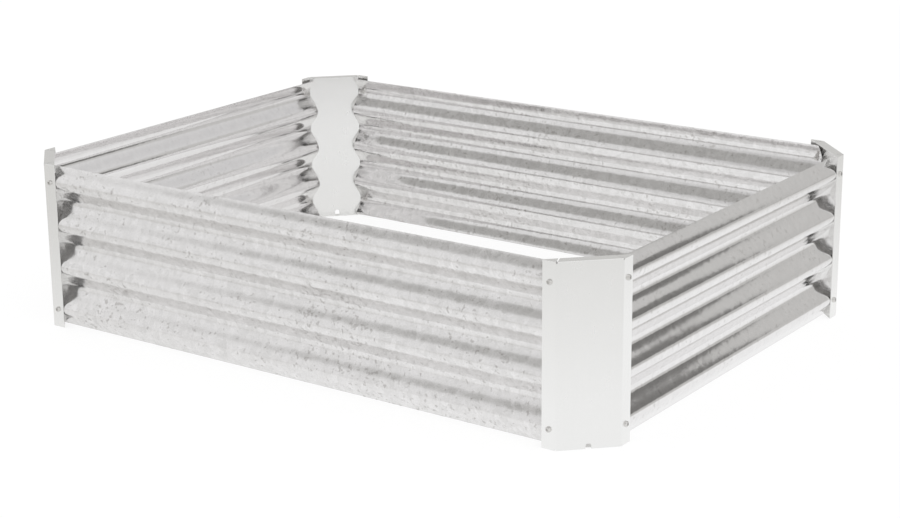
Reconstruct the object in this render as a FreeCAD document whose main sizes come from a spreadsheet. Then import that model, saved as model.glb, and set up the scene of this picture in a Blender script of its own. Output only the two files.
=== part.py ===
"""Raised garden bed: four corrugated steel panels held by four folded corner posts.

Frame of the model: millimetres, Z up, the origin on the ground under the middle of the bed,
X along the long panels and Y along the short ones. "Front" is the side towards -Y and
"right" is the side towards +X.

The panels have their waves running level. Each panel is held by its outermost waves: the
top and bottom crests lie against the flat flanges of the posts, and a pan head screw and a
hexagon nut clamp each of them there.
"""
import FreeCAD, Part
import math
import os

import Sketcher

from FreeCAD import Placement, Rotation, Vector

doc = FreeCAD.newDocument("raised_garden_bed")


# ---------------------------------------------------------------------------
# Driving dimensions, in millimetres
# ---------------------------------------------------------------------------
DIMENSIONS = [
    # the bed
    ("overall_length", 1212.0, "along X, over the outer faces of the posts"),
    ("overall_width", 906.0, "along Y, over the outer faces of the posts"),
    # corrugated panels
    ("panel_gauge", 0.8, "sheet thickness of the panels"),
    ("crest_pitch", 78.0, "from one crest to the next"),
    ("crest_count", 4, "crests that face outwards"),
    ("wave_depth", 20.0, "from crest to valley, on the middle of the sheet"),
    ("edge_below", 30.5, "from the lowest crest to the panel's bottom edge"),
    ("edge_above", 27.5, "from the highest crest to the panel's top edge"),
    # corner posts
    ("post_gauge", 1.2, "sheet thickness of the posts"),
    ("chamfer_leg", 73.0, "how far the flat corner face cuts back along X and along Y"),
    ("flange_width", 25.0, "flange on each side, from its fold to its free edge"),
    ("bend_radius", 2.0, "inside radius of the upright folds"),
    ("edge_round", 0.7, "rounding where the ends are folded in"),
    ("relief_width", 2.4, "slit that lets the folded ends meet at a corner"),
    ("relief_drop", 2.8, "how far that slit reaches into the upright faces"),
    ("notch_width", 9.0, "drain notch at the foot of the flat corner face"),
    ("notch_rise", 9.5, "height of the drain notch"),
    ("notch_reach", 5.0, "how far the drain notch runs into the folded foot"),
    # gaps between the pieces
    ("foot_gap", 1.3, "from the folded foot of a post up to the panels"),
    ("head_gap", 4.3, "from the panels up to the folded head of a post"),
    ("end_gap", 0.7, "from the end of a panel to the start of the post's fold"),
    ("seat_gap", 0.1, "between a flange and the crests that lie against it"),
    # screws and nuts
    ("screw_size", 5.0, "outer diameter of the screw's shank"),
    ("screw_end", 2.5, "length of the shank past the nut"),
    ("screw_tip", 0.5, "chamfer at the end of the shank"),
    ("head_size", 9.5, "diameter of the pan head"),
    ("head_height", 3.4, "height of the pan head"),
    ("head_round", 2.0, "rounding of the pan head's outer edge"),
    ("recess_span", 5.2, "length of each arm pair of the cross recess"),
    ("recess_wing", 1.2, "width of the arms of the cross recess"),
    ("recess_depth", 2.0, "depth of the cross recess"),
    ("nut_flats", 8.0, "nut, across its flats"),
    ("nut_height", 4.0, "thickness of the nut"),
    ("hole_gap", 0.5, "added to the shank's diameter for the holes in the sheets"),
    ("thread_gap", 0.1, "added to the shank's diameter for the bore of the nut"),
]

sheet = doc.addObject("Spreadsheet::Sheet", "sizes")
for row, (alias, value, note) in enumerate(DIMENSIONS, start=1):
    sheet.set(f"A{row}", alias)
    sheet.set(f"B{row}", str(value))
    sheet.set(f"C{row}", note)
    sheet.setAlias(f"B{row}", alias)
doc.recompute()


# ---------------------------------------------------------------------------
# Sizes that follow from the driving ones, as formulas for setExpression
# ---------------------------------------------------------------------------
def formula(text):
    """The text with every word that is a driving dimension pointed at its cell."""
    names = sorted((alias for alias, _, _ in DIMENSIONS), key=len, reverse=True)
    for place, alias in enumerate(names):
        text = text.replace(alias, f"<{place}>")
    for place, alias in enumerate(names):
        text = text.replace(f"<{place}>", f"sizes.{alias}")
    return text


QUARTER_WAVE = "crest_pitch / 4"
# equal arcs that meet halfway between crest and valley make the wave
WAVE_RADIUS = f"((({QUARTER_WAVE})^2 + (wave_depth / 2)^2) / wave_depth)"
# a fold of 45 degrees uses up this much of each face, measured on the outside
FOLD_SETBACK = "((post_gauge + bend_radius) * tan(22.5))"
PANEL_BOTTOM = "(post_gauge + foot_gap)"
LOW_CREST = f"({PANEL_BOTTOM} + edge_below)"
HIGH_CREST = f"({LOW_CREST} + (crest_count - 1) * crest_pitch)"
PANEL_TOP = f"({HIGH_CREST} + edge_above)"
POST_HEIGHT = f"({PANEL_TOP} + head_gap + post_gauge)"
PANEL_INSET = "(post_gauge + seat_gap)"
PANEL_SETBACK = f"(chamfer_leg + {FOLD_SETBACK} + end_gap)"
LONG_PANEL = f"(overall_length - 2 * {PANEL_SETBACK})"
SHORT_PANEL = f"(overall_width - 2 * {PANEL_SETBACK})"
SCREW_SETBACK = "(chamfer_leg + flange_width / 2)"
HOLE_RADIUS = "((screw_size + hole_gap) / 2)"
# the flat nut bridges the hollow side of a crest: its corners touch first
INNER_CREST = f"({WAVE_RADIUS} - panel_gauge / 2)"
NUT_CORNER = "(nut_flats / 2 / cos(30))"
NUT_LIFT = f"({INNER_CREST} - sqrt({INNER_CREST}^2 - {NUT_CORNER}^2))"
NUT_SEAT = f"({PANEL_INSET} + panel_gauge + {NUT_LIFT})"
SHANK_LENGTH = f"({NUT_SEAT} + nut_height + screw_end)"


# ---------------------------------------------------------------------------
# Helpers for bodies and sketches
# ---------------------------------------------------------------------------
ORIGIN_POINT = (-1, 1)
START, END, CENTRE = 1, 2, 3
TOLERANCE = 0.01


def bind(item, prop, text):
    item.setExpression(prop, formula(text))


def make_body(label):
    body = doc.addObject("PartDesign::Body", label)
    body.Label = label
    return body


def plane_of(body, role):
    return next(f for f in body.Origin.OriginFeatures if f.Role == role)


def make_sketch(body, name, role):
    sketch = body.newObject("Sketcher::SketchObject", name)
    sketch.AttachmentSupport = [(plane_of(body, role), "")]
    sketch.MapMode = "FlatFace"
    return sketch


def value_of(text):
    """The present value of a formula, to draw a sketch close to its final shape."""
    return float(sheet.evalExpression(formula(text)))


def hold(sketch, kind, *target, text):
    """Add a constraint whose size is the formula in text."""
    index = sketch.addConstraint(Sketcher.Constraint(kind, *target, value_of(text)))
    bind(sketch, f"Constraints[{index}]", text)


def place_point(sketch, geometry, end, across, up):
    """Hold a point of the sketch at two formulas measured from the sketch's origin."""
    hold(sketch, "DistanceX", *ORIGIN_POINT, geometry, end, text=across)
    hold(sketch, "DistanceY", *ORIGIN_POINT, geometry, end, text=up)


def draw_outline(sketch, corners):
    """A closed outline through corners, each given as a pair of formulas."""
    points = [Vector(value_of(across), value_of(up), 0) for across, up in corners]
    first = sketch.GeometryCount
    for place, point in enumerate(points):
        sketch.addGeometry(Part.LineSegment(point, points[(place + 1) % len(points)]), False)
    for place, (across, up) in enumerate(corners):
        here = first + place
        after = first + (place + 1) % len(corners)
        sketch.addConstraint(Sketcher.Constraint("Coincident", here, END, after, START))
        place_point(sketch, here, START, across, up)


def draw_circle(sketch, across, up, radius):
    centre = Vector(value_of(across), value_of(up), 0)
    ring = sketch.addGeometry(Part.Circle(centre, Vector(0, 0, 1), value_of(radius)), False)
    hold(sketch, "Radius", ring, text=radius)
    place_point(sketch, ring, CENTRE, across, up)


def pad(body, name, sketch, length, symmetric=False):
    feature = body.newObject("PartDesign::Pad", name)
    feature.Profile = sketch
    feature.SideType = "Symmetric" if symmetric else "One side"
    bind(feature, "Length", length)
    doc.recompute()
    return feature


def pocket(body, name, sketch, length, reverse=False, symmetric=False):
    """Cut the sketch out of the body, and insist that the cut removed something."""
    before = body.Shape.Volume
    feature = body.newObject("PartDesign::Pocket", name)
    feature.Profile = sketch
    feature.SideType = "Symmetric" if symmetric else "One side"
    feature.Reversed = reverse
    bind(feature, "Length", length)
    doc.recompute()
    if body.Shape.Volume >= before:
        raise RuntimeError(f"{body.Label}: {name} cuts nothing")
    return feature


def fillet(body, name, chosen, radius):
    """Round the edges for which chosen(edge) is true."""
    base = body.Tip
    edges = [f"Edge{n}" for n, edge in enumerate(base.Shape.Edges, start=1) if chosen(edge)]
    if not edges:
        raise RuntimeError(f"{body.Label}: {name} finds no edges")
    feature = body.newObject("PartDesign::Fillet", name)
    feature.Base = (base, edges)
    bind(feature, "Radius", radius)
    doc.recompute()
    return feature


# ---------------------------------------------------------------------------
# Where each piece stands
# ---------------------------------------------------------------------------
# Each post is drawn with its outer corner at its own origin and its flanges along +X and +Y.
CORNERS = {
    "front_left": (-1, -1, 0),
    "front_right": (1, -1, 90),
    "back_right": (1, 1, 180),
    "back_left": (-1, 1, 270),
}
# Each panel is drawn along X with its outer side towards -Y.
SIDES = {
    "front_long_panel": (0, -1, 0, LONG_PANEL),
    "right_short_panel": (1, 0, 90, SHORT_PANEL),
    "back_long_panel": (0, 1, 180, LONG_PANEL),
    "left_short_panel": (-1, 0, 270, SHORT_PANEL),
}


def place_body(body, across, along, turn, lift="0"):
    """Stand a body at two formulas in the ground plane, turned about the upright axis."""
    body.Placement = Placement(Vector(), Rotation(Vector(0, 0, 1), turn))
    bind(body, ".Placement.Base.x", across)
    bind(body, ".Placement.Base.y", along)
    bind(body, ".Placement.Base.z", lift)


# ---------------------------------------------------------------------------
# Corrugated panels
# ---------------------------------------------------------------------------
def draw_wave(sketch):
    """One wave of the sheet, from a valley over a crest to the next valley.

    The sketch's first axis runs inwards from the crest's outer face and its second runs up
    from the lower valley. Outer and inner face are three arcs each, about shared centres.
    """
    radius = value_of(WAVE_RADIUS)
    half = value_of("panel_gauge / 2")
    pitch = value_of("crest_pitch")
    depth = value_of("wave_depth")
    lean = math.asin(pitch / 4 / radius)
    crest = Vector(half + radius, pitch / 2, 0)
    low_valley = Vector(half + depth - radius, 0, 0)
    high_valley = Vector(half + depth - radius, pitch, 0)
    upright = Vector(0, 0, 1)

    def arc(centre, size, begin, finish):
        circle = Part.Circle(centre, upright, size)
        return sketch.addGeometry(Part.ArcOfCircle(circle, begin, finish), False)

    faces = []
    for side in (1, -1):
        valley_size = radius - side * half
        crest_size = radius + side * half
        low = arc(low_valley, valley_size, 0, lean)
        top = arc(crest, crest_size, math.pi - lean, math.pi + lean)
        high = arc(high_valley, valley_size, -lean, 0)
        # the crest's arc runs the other way round, so its start is the upper end
        sketch.addConstraint(Sketcher.Constraint("Tangent", low, END, top, END))
        sketch.addConstraint(Sketcher.Constraint("Tangent", top, START, high, START))
        faces.append((low, top, high))
    outer, inner = faces

    for first, second in zip(outer, inner):
        sketch.addConstraint(Sketcher.Constraint("Coincident", first, CENTRE, second, CENTRE))
    for index, end in ((0, START), (2, END)):
        near = sketch.getPoint(outer[index], end)
        far = sketch.getPoint(inner[index], end)
        edge = sketch.addGeometry(Part.LineSegment(near, far), False)
        sketch.addConstraint(Sketcher.Constraint("Coincident", edge, START, outer[index], end))
        sketch.addConstraint(Sketcher.Constraint("Coincident", edge, END, inner[index], end))
        sketch.addConstraint(Sketcher.Constraint("Horizontal", edge))

    convex = f"{WAVE_RADIUS} + panel_gauge / 2"
    hollow = f"{WAVE_RADIUS} - panel_gauge / 2"
    hold(sketch, "Radius", outer[1], text=convex)
    hold(sketch, "Radius", inner[1], text=hollow)
    place_point(sketch, outer[1], CENTRE, convex, "crest_pitch / 2")
    for index, end, height in ((0, START, "0"), (2, END, "crest_pitch")):
        hold(sketch, "Radius", outer[index], text=hollow)
        hold(sketch, "DistanceY", *ORIGIN_POINT, outer[index], CENTRE, text=height)
        hold(sketch, "DistanceY", *ORIGIN_POINT, outer[index], end, text=height)


def make_panel(label, toward_x, toward_y, turn, length):
    body = make_body(label)
    wave = make_sketch(body, f"{label}_wave", "YZ_Plane")
    # one wave more than the crests at either end, so that the edges can be trimmed anywhere
    bind(wave, ".AttachmentOffset.Base.y", f"{LOW_CREST} - 1.5 * crest_pitch")
    draw_wave(wave)
    strip = pad(body, f"{label}_strip", wave, length, symmetric=True)

    waves = body.newObject("PartDesign::LinearPattern", f"{label}_waves")
    waves.Originals = [strip]
    waves.Direction = (plane_of(body, "Z_Axis"), [""])
    waves.Mode = "Spacing"
    bind(waves, "Offset", "crest_pitch")
    bind(waves, "Occurrences", "crest_count + 2")
    body.Tip = waves
    doc.recompute()

    reach = "3 * crest_pitch"
    trims = (("bottom", f"{PANEL_BOTTOM} - {reach}", PANEL_BOTTOM),
             ("top", PANEL_TOP, f"{PANEL_TOP} + {reach}"))
    for name, low, high in trims:
        trim = make_sketch(body, f"{label}_{name}", "YZ_Plane")
        draw_outline(trim, [("-wave_depth", low), ("2 * wave_depth", low),
                            ("2 * wave_depth", high), ("-wave_depth", high)])
        pocket(body, f"{label}_{name}_trim", trim, f"{length} + wave_depth", symmetric=True)

    holes = make_sketch(body, f"{label}_holes", "XZ_Plane")
    half = f"({length} / 2 + {PANEL_SETBACK} - {SCREW_SETBACK})"
    for sign in ("-", ""):
        for height in (LOW_CREST, HIGH_CREST):
            draw_circle(holes, f"{sign}{half}", height, HOLE_RADIUS)
    pocket(body, f"{label}_drilling", holes, "wave_depth", symmetric=True)

    place_body(body, f"{toward_x} * (overall_length / 2 - {PANEL_INSET})",
               f"{toward_y} * (overall_width / 2 - {PANEL_INSET})", turn)
    return body


# ---------------------------------------------------------------------------
# Folded corner posts
# ---------------------------------------------------------------------------
FLANGE_END = "(chamfer_leg + flange_width)"
# the inner face of a sheet that folds by 45 degrees turns this much further along
INNER_CORNER = "(chamfer_leg + post_gauge * tan(22.5))"


def is_upright(edge):
    if edge.Curve.TypeId != "Part::GeomLine":
        return False
    direction = edge.Curve.Direction
    return abs(direction.z) > 0.999


def make_post(label, toward_x, toward_y, turn):
    body = make_body(label)
    leg = value_of("chamfer_leg")
    gauge = value_of("post_gauge")
    inner_leg = value_of(INNER_CORNER)
    height = value_of(POST_HEIGHT)

    # the upright faces: flange, flat corner face, flange
    wall = make_sketch(body, f"{label}_wall", "XY_Plane")
    draw_outline(wall, [(FLANGE_END, "0"), ("chamfer_leg", "0"),
                        ("0", "chamfer_leg"), ("0", FLANGE_END),
                        ("post_gauge", FLANGE_END), ("post_gauge", INNER_CORNER),
                        (INNER_CORNER, "post_gauge"), (FLANGE_END, "post_gauge")])
    pad(body, f"{label}_upright", wall, POST_HEIGHT)

    def at_fold(edge, across, along):
        middle = edge.CenterOfMass
        straight = abs(middle.x - across) < TOLERANCE and abs(middle.y - along) < TOLERANCE
        swapped = abs(middle.y - across) < TOLERANCE and abs(middle.x - along) < TOLERANCE
        return is_upright(edge) and (straight or swapped)

    fillet(body, f"{label}_outer_folds", lambda e: at_fold(e, leg, 0),
           "post_gauge + bend_radius")
    fillet(body, f"{label}_inner_folds", lambda e: at_fold(e, inner_leg, gauge),
           "bend_radius")

    # the ends folded in level, out to the straight line between the two flange ends
    for name, level in (("foot", "0"), ("head", f"{POST_HEIGHT} - post_gauge")):
        plate = make_sketch(body, f"{label}_{name}_plate", "XY_Plane")
        bind(plate, ".AttachmentOffset.Base.z", level)
        half_gauge = "post_gauge / 2"
        # drawn from the middle of the wall, so that the rounded folds stay outermost
        middle = f"(chamfer_leg + {half_gauge} * tan(22.5))"
        draw_outline(plate, [(FLANGE_END, half_gauge), (middle, half_gauge),
                             (half_gauge, middle), (half_gauge, FLANGE_END),
                             ("post_gauge", FLANGE_END), (FLANGE_END, "post_gauge")])
        pad(body, f"{label}_{name}", plate, "post_gauge")

    def on_rim(edge):
        box = edge.BoundBox
        level = box.ZLength < TOLERANCE
        at_end = abs(box.ZMin) < TOLERANCE or abs(box.ZMax - height) < TOLERANCE
        middle = edge.valueAt((edge.FirstParameter + edge.LastParameter) / 2)
        outside = min(middle.x, middle.y, (middle.x + middle.y - leg) / math.sqrt(2))
        chord = abs(middle.x + middle.y - value_of(f"{FLANGE_END} + post_gauge")) < TOLERANCE
        short = edge.Length < gauge + TOLERANCE
        return level and at_end and outside < gauge / 4 and not chord and not short

    fillet(body, f"{label}_end_folds", on_rim, "edge_round")

    # slits along the mitre lines, where three folded ends meet
    for name, level in (("foot", "0"), ("head", f"{POST_HEIGHT} - relief_drop")):
        for side, across, along, angle in (("x", "chamfer_leg", "0", 67.5),
                                           ("y", "0", "chamfer_leg", 22.5)):
            slit = body.newObject("PartDesign::SubtractiveBox", f"{label}_{name}_slit_{side}")
            slit.AttachmentSupport = [(plane_of(body, "XY_Plane"), "")]
            slit.MapMode = "FlatFace"
            slit.AttachmentOffset = Placement(Vector(), Rotation(Vector(0, 0, 1), angle))
            # the box starts outside the fold and lies with its middle on the mitre line
            back = "(2 * post_gauge)"
            shift = "(relief_width / 2)"
            bind(slit, ".AttachmentOffset.Base.x",
                 f"{across} - {back} * cos({angle}) + {shift} * sin({angle})")
            bind(slit, ".AttachmentOffset.Base.y",
                 f"{along} - {back} * sin({angle}) - {shift} * cos({angle})")
            bind(slit, ".AttachmentOffset.Base.z", level)
            bind(slit, "Length", f"flange_width + 2 * {back}")
            bind(slit, "Width", "relief_width")
            bind(slit, "Height", "relief_drop")
            doc.recompute()

    # the drain notch in the middle of the flat corner face: round top, open foot
    notch = make_sketch(body, f"{label}_notch", "YZ_Plane")
    notch.AttachmentOffset = Placement(Vector(), Rotation(Vector(0, 1, 0), 45))
    draw_notch(notch)
    bind(notch, ".AttachmentOffset.Base.x", "chamfer_leg / 2")
    bind(notch, ".AttachmentOffset.Base.z", "chamfer_leg / 2")
    pocket(body, f"{label}_drain", notch, "2 * notch_reach", symmetric=True)

    # screw holes in both flanges, at the lowest and highest crest
    for name, role in (("x", "XZ_Plane"), ("y", "YZ_Plane")):
        holes = make_sketch(body, f"{label}_holes_{name}", role)
        for level in (LOW_CREST, HIGH_CREST):
            draw_circle(holes, SCREW_SETBACK, level, HOLE_RADIUS)
        pocket(body, f"{label}_drilling_{name}", holes, "4 * post_gauge", symmetric=True)

    place_body(body, f"{toward_x} * overall_length / 2", f"{toward_y} * overall_width / 2", turn)
    return body


def draw_notch(sketch):
    """Outline of the drain notch: a slot with a half-round top, open below the foot."""
    half = value_of("notch_width / 2")
    shoulder = value_of("notch_rise - notch_width / 2")
    below = -value_of("post_gauge")
    low_left, low_right = Vector(-half, below, 0), Vector(half, below, 0)
    top_left, top_right = Vector(-half, shoulder, 0), Vector(half, shoulder, 0)
    foot = sketch.addGeometry(Part.LineSegment(low_left, low_right), False)
    right = sketch.addGeometry(Part.LineSegment(low_right, top_right), False)
    ring = Part.Circle(Vector(0, shoulder, 0), Vector(0, 0, 1), half)
    crown = sketch.addGeometry(Part.ArcOfCircle(ring, 0, math.pi), False)
    left = sketch.addGeometry(Part.LineSegment(top_left, low_left), False)
    sketch.addConstraint(Sketcher.Constraint("Coincident", foot, END, right, START))
    sketch.addConstraint(Sketcher.Constraint("Coincident", right, END, crown, START))
    sketch.addConstraint(Sketcher.Constraint("Coincident", crown, END, left, START))
    sketch.addConstraint(Sketcher.Constraint("Coincident", left, END, foot, START))
    place_point(sketch, foot, START, "-notch_width / 2", "-post_gauge")
    place_point(sketch, foot, END, "notch_width / 2", "-post_gauge")
    place_point(sketch, right, END, "notch_width / 2", "notch_rise - notch_width / 2")
    place_point(sketch, left, START, "-notch_width / 2", "notch_rise - notch_width / 2")
    hold(sketch, "DistanceY", *ORIGIN_POINT, crown, CENTRE, text="notch_rise - notch_width / 2")


# ---------------------------------------------------------------------------
# Screws and nuts
# ---------------------------------------------------------------------------
# A screw and its nut are drawn about +Y: the head outside at -Y, the shank inwards.
FLANGES = {"long": 0, "short": 1}
LEVELS = {"lower": LOW_CREST, "upper": HIGH_CREST}


def make_screw(label):
    body = make_body(label)
    half = make_sketch(body, f"{label}_half", "XY_Plane")
    draw_outline(half, [("0", "-head_height"), ("head_size / 2", "-head_height"),
                        ("head_size / 2", "0"), ("screw_size / 2", "0"),
                        ("screw_size / 2", f"{SHANK_LENGTH} - screw_tip"),
                        ("screw_size / 2 - screw_tip", SHANK_LENGTH), ("0", SHANK_LENGTH)])
    turned = body.newObject("PartDesign::Revolution", f"{label}_turned")
    turned.Profile = half
    turned.ReferenceAxis = (half, ["V_Axis"])
    turned.Angle = 360
    doc.recompute()
    top = -value_of("head_height")
    fillet(body, f"{label}_crown", lambda edge: edge.BoundBox.YMax < top + TOLERANCE,
           "head_round")

    arm, wing = "recess_span / 2", "recess_wing / 2"
    cross = make_sketch(body, f"{label}_cross", "XZ_Plane")
    bind(cross, ".AttachmentOffset.Base.z", "head_height")
    draw_outline(cross, [(arm, f"-{wing}"), (arm, wing), (wing, wing), (wing, arm),
                         (f"-{wing}", arm), (f"-{wing}", wing), (f"-{arm}", wing),
                         (f"-{arm}", f"-{wing}"), (f"-{wing}", f"-{wing}"),
                         (f"-{wing}", f"-{arm}"), (wing, f"-{arm}"), (wing, f"-{wing}")])
    pocket(body, f"{label}_recess", cross, "recess_depth")
    return body


def make_nut(label):
    body = make_body(label)
    outline = make_sketch(body, f"{label}_outline", "XZ_Plane")
    corners = [(f"{NUT_CORNER} * cos({60 * n})", f"{NUT_CORNER} * sin({60 * n})")
               for n in range(6)]
    draw_outline(outline, corners)
    draw_circle(outline, "0", "0", "(screw_size + thread_gap) / 2")
    block = pad(body, f"{label}_block", outline, "nut_height")
    block.Reversed = True
    bind(outline, ".AttachmentOffset.Base.z", f"-{NUT_SEAT}")
    doc.recompute()
    return body


def place_fastener(body, corner, flange, level):
    """Put a fastener through one flange of one corner's post, at one crest."""
    toward_x, toward_y, _ = CORNERS[corner]
    if flange == "long":
        across = f"{toward_x} * (overall_length / 2 - {SCREW_SETBACK})"
        along = f"{toward_y} * overall_width / 2"
        turn = 0 if toward_y < 0 else 180
    else:
        across = f"{toward_x} * overall_length / 2"
        along = f"{toward_y} * (overall_width / 2 - {SCREW_SETBACK})"
        turn = 90 if toward_x > 0 else 270
    place_body(body, across, along, turn, lift=LEVELS[level])


# ---------------------------------------------------------------------------
# The whole bed
# ---------------------------------------------------------------------------
pieces = []
for label, (toward_x, toward_y, turn, length) in SIDES.items():
    pieces.append(make_panel(label, toward_x, toward_y, turn, length))
for corner, (toward_x, toward_y, turn) in CORNERS.items():
    pieces.append(make_post(f"{corner}_post", toward_x, toward_y, turn))
for corner in CORNERS:
    for flange in FLANGES:
        for level in LEVELS:
            spot = f"{corner}_{flange}_{level}"
            for piece in (make_screw(f"screw_{spot}"), make_nut(f"nut_{spot}")):
                place_fastener(piece, corner, flange, level)
                pieces.append(piece)
doc.recompute()

for item in doc.Objects:
    if "Invalid" in item.State or "Error" in item.State:
        raise RuntimeError(f"{item.Label} did not compute: {item.State}")

os.makedirs("parts", exist_ok=True)
for piece in pieces:
    if piece.Shape.isNull() or not piece.Shape.isValid():
        raise RuntimeError(f"{piece.Label} has no valid shape")
    if len(piece.Shape.Solids) != 1:
        raise RuntimeError(f"{piece.Label} has {len(piece.Shape.Solids)} solids")
    piece.Shape.exportStep(f"parts/{piece.Label}.step")
    box = piece.Shape.BoundBox
    print(f"{piece.Label}: {piece.Shape.Volume:.0f} mm3, {box.XLength:.1f} x {box.YLength:.1f}"
          f" x {box.ZLength:.1f}, z from {box.ZMin:.2f}")
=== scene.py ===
# %% [markdown]
# # A raised garden bed in galvanised steel
#
# The real bed is four corrugated sheets held by four folded corner posts. Sixteen pan head
# screws and their nuts clamp the sheets to the posts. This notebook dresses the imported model:
# it swaps the sheets and the fasteners for finer ones made with Geometry Nodes, gives every
# piece its own metal, and sets up the studio and the camera of the photograph.
#
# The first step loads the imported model, so that every later piece can be placed by it. The
# box round it is kept, because the dressed bed may not grow out of it.

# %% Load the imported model
import math

import bpy
from mathutils import Matrix, Vector


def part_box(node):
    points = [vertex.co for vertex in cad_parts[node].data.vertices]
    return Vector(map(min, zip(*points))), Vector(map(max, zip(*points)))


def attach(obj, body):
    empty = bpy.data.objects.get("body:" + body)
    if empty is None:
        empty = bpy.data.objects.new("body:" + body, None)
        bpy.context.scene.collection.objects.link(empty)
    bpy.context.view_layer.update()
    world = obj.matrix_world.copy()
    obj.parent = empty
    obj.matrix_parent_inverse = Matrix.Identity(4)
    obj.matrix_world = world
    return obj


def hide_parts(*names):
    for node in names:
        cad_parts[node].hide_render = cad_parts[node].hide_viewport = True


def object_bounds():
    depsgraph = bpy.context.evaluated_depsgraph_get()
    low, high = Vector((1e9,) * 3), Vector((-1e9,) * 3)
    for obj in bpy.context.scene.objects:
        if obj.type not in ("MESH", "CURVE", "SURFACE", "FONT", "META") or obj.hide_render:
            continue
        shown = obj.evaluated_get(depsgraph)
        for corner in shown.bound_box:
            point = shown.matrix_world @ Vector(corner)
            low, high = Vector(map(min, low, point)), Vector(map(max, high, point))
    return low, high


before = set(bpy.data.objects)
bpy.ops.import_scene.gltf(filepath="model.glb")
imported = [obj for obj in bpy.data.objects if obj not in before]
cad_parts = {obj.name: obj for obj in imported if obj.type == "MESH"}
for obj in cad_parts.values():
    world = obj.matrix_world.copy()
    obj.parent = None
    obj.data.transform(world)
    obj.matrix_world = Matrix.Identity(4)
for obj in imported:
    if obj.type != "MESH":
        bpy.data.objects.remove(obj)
scene = bpy.context.scene
MM = 0.001
cad_low, cad_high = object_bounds()
print("the packed bed measures", [round(side / MM, 1) for side in cad_high - cad_low], "mm")

# %% [markdown]
# ## Helpers
#
# A node tree is a recipe. Writing one by hand takes many lines, so one small function adds a
# node, sets it up and wires its inputs. A second one turns a colour as a painter writes it
# (sRGB hex) into the linear values that Blender works with.

# %% Helpers for nodes and colours
def add_node(tree, kind, inputs=None, **settings):
    """One node, with its settings, its fixed values and the links into it."""
    node = tree.nodes.new(kind)
    for name, value in settings.items():
        setattr(node, name, value)
    for socket, value in (inputs or {}).items():
        if isinstance(value, bpy.types.NodeSocket):
            tree.links.new(value, node.inputs[socket])
        else:
            node.inputs[socket].default_value = value
    return node


def linear(hex_code):
    """An sRGB colour such as #dcdcdb as linear red, green, blue and alpha."""
    parts = [int(hex_code[at:at + 2], 16) / 255 for at in (1, 3, 5)]
    return [p / 12.92 if p <= 0.04045 else ((p + 0.055) / 1.055) ** 2.4 for p in parts] + [1]


# %% [markdown]
# Geometry Nodes need an object to run on. `new_tree` makes an empty recipe with named
# inputs. `grow` runs it once on an empty mesh, with its inputs filled in, and keeps the
# result as a plain mesh, because a finished piece should no longer depend on its recipe.

# %% Helpers for Geometry Nodes
KINDS = {
    "size": "NodeSocketFloat",
    "count": "NodeSocketInt",
    "point": "NodeSocketVector",
    "object": "NodeSocketObject",
    "material": "NodeSocketMaterial",
}


def new_tree(title, **inputs):
    """An empty recipe with one named input for each word, and its two ends."""
    tree = bpy.data.node_groups.new(title, "GeometryNodeTree")
    for name, kind in inputs.items():
        tree.interface.new_socket(name, in_out="INPUT", socket_type=KINDS[kind])
    tree.interface.new_socket("mesh", in_out="OUTPUT", socket_type="NodeSocketGeometry")
    return tree, tree.nodes.new("NodeGroupInput").outputs


def close_tree(tree, geometry, material):
    """End the recipe: make the copies real and give them their metal."""
    real = add_node(tree, "GeometryNodeRealizeInstances", {"Geometry": geometry})
    coated = add_node(tree, "GeometryNodeSetMaterial",
                      {"Geometry": real.outputs[0], "Material": material})
    add_node(tree, "NodeGroupOutput", {"mesh": coated.outputs[0]})


def grow(title, tree, **values):
    """Run the recipe once and keep what it makes as a plain mesh object."""
    piece = bpy.data.objects.new(title, bpy.data.meshes.new(title))
    scene.collection.objects.link(piece)
    modifier = piece.modifiers.new(title, "NODES")
    modifier.node_group = tree
    for item in tree.interface.items_tree:
        if item.in_out == "INPUT":
            modifier[item.identifier] = values[item.name]
    graph = bpy.context.evaluated_depsgraph_get()
    mesh = bpy.data.meshes.new_from_object(piece.evaluated_get(graph))
    piece.modifiers.remove(modifier)
    mesh.materials.clear()
    mesh.materials.append(values["metal"])
    mesh.polygons.foreach_set("material_index", [0] * len(mesh.polygons))
    piece.data = mesh
    print(title, "has", len(mesh.polygons), "faces")
    return piece


# %% [markdown]
# Recipes and metals both work things out with nodes. `sum_up` adds one calculation on
# numbers, `vector` adds one on vectors, and `scale_by` makes a vector longer or shorter.

# %% Helpers for calculations
def sum_up(tree, operation, *values):
    """One Math node on up to three values, and its result."""
    return add_node(tree, "ShaderNodeMath", dict(enumerate(values)),
                    operation=operation).outputs[0]


def vector(tree, operation, first, second=(0, 0, 0)):
    """One Vector Math node; a dot product or a distance gives a number."""
    node = add_node(tree, "ShaderNodeVectorMath", {0: first, 1: second}, operation=operation)
    return node.outputs["Value" if operation in ("DOT_PRODUCT", "DISTANCE") else "Vector"]


def scale_by(tree, first, factor):
    """The vector first, made factor times as long."""
    return add_node(tree, "ShaderNodeVectorMath", {0: first, "Scale": factor},
                    operation="SCALE").outputs[0]


# %% [markdown]
# ## The metals
#
# All of the bed is steel with zinc on it, but the zinc looks different from piece to piece.
# The sheets are hot-dip galvanised: dipped in molten zinc, which freezes into flat crystals
# (the spangle). Each crystal lies at a slightly different angle, so it mirrors a different
# bit of the room. The posts are folded from smooth, satin sheet. The screws and nuts are
# bright zinc plated.
#
# A spangle could be a picture wrapped on the sheet, but a picture repeats and needs
# unwrapping. Voronoi cells are a good model of crystals that grew until they met, so the
# pattern is built from them, at real sizes.

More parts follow.
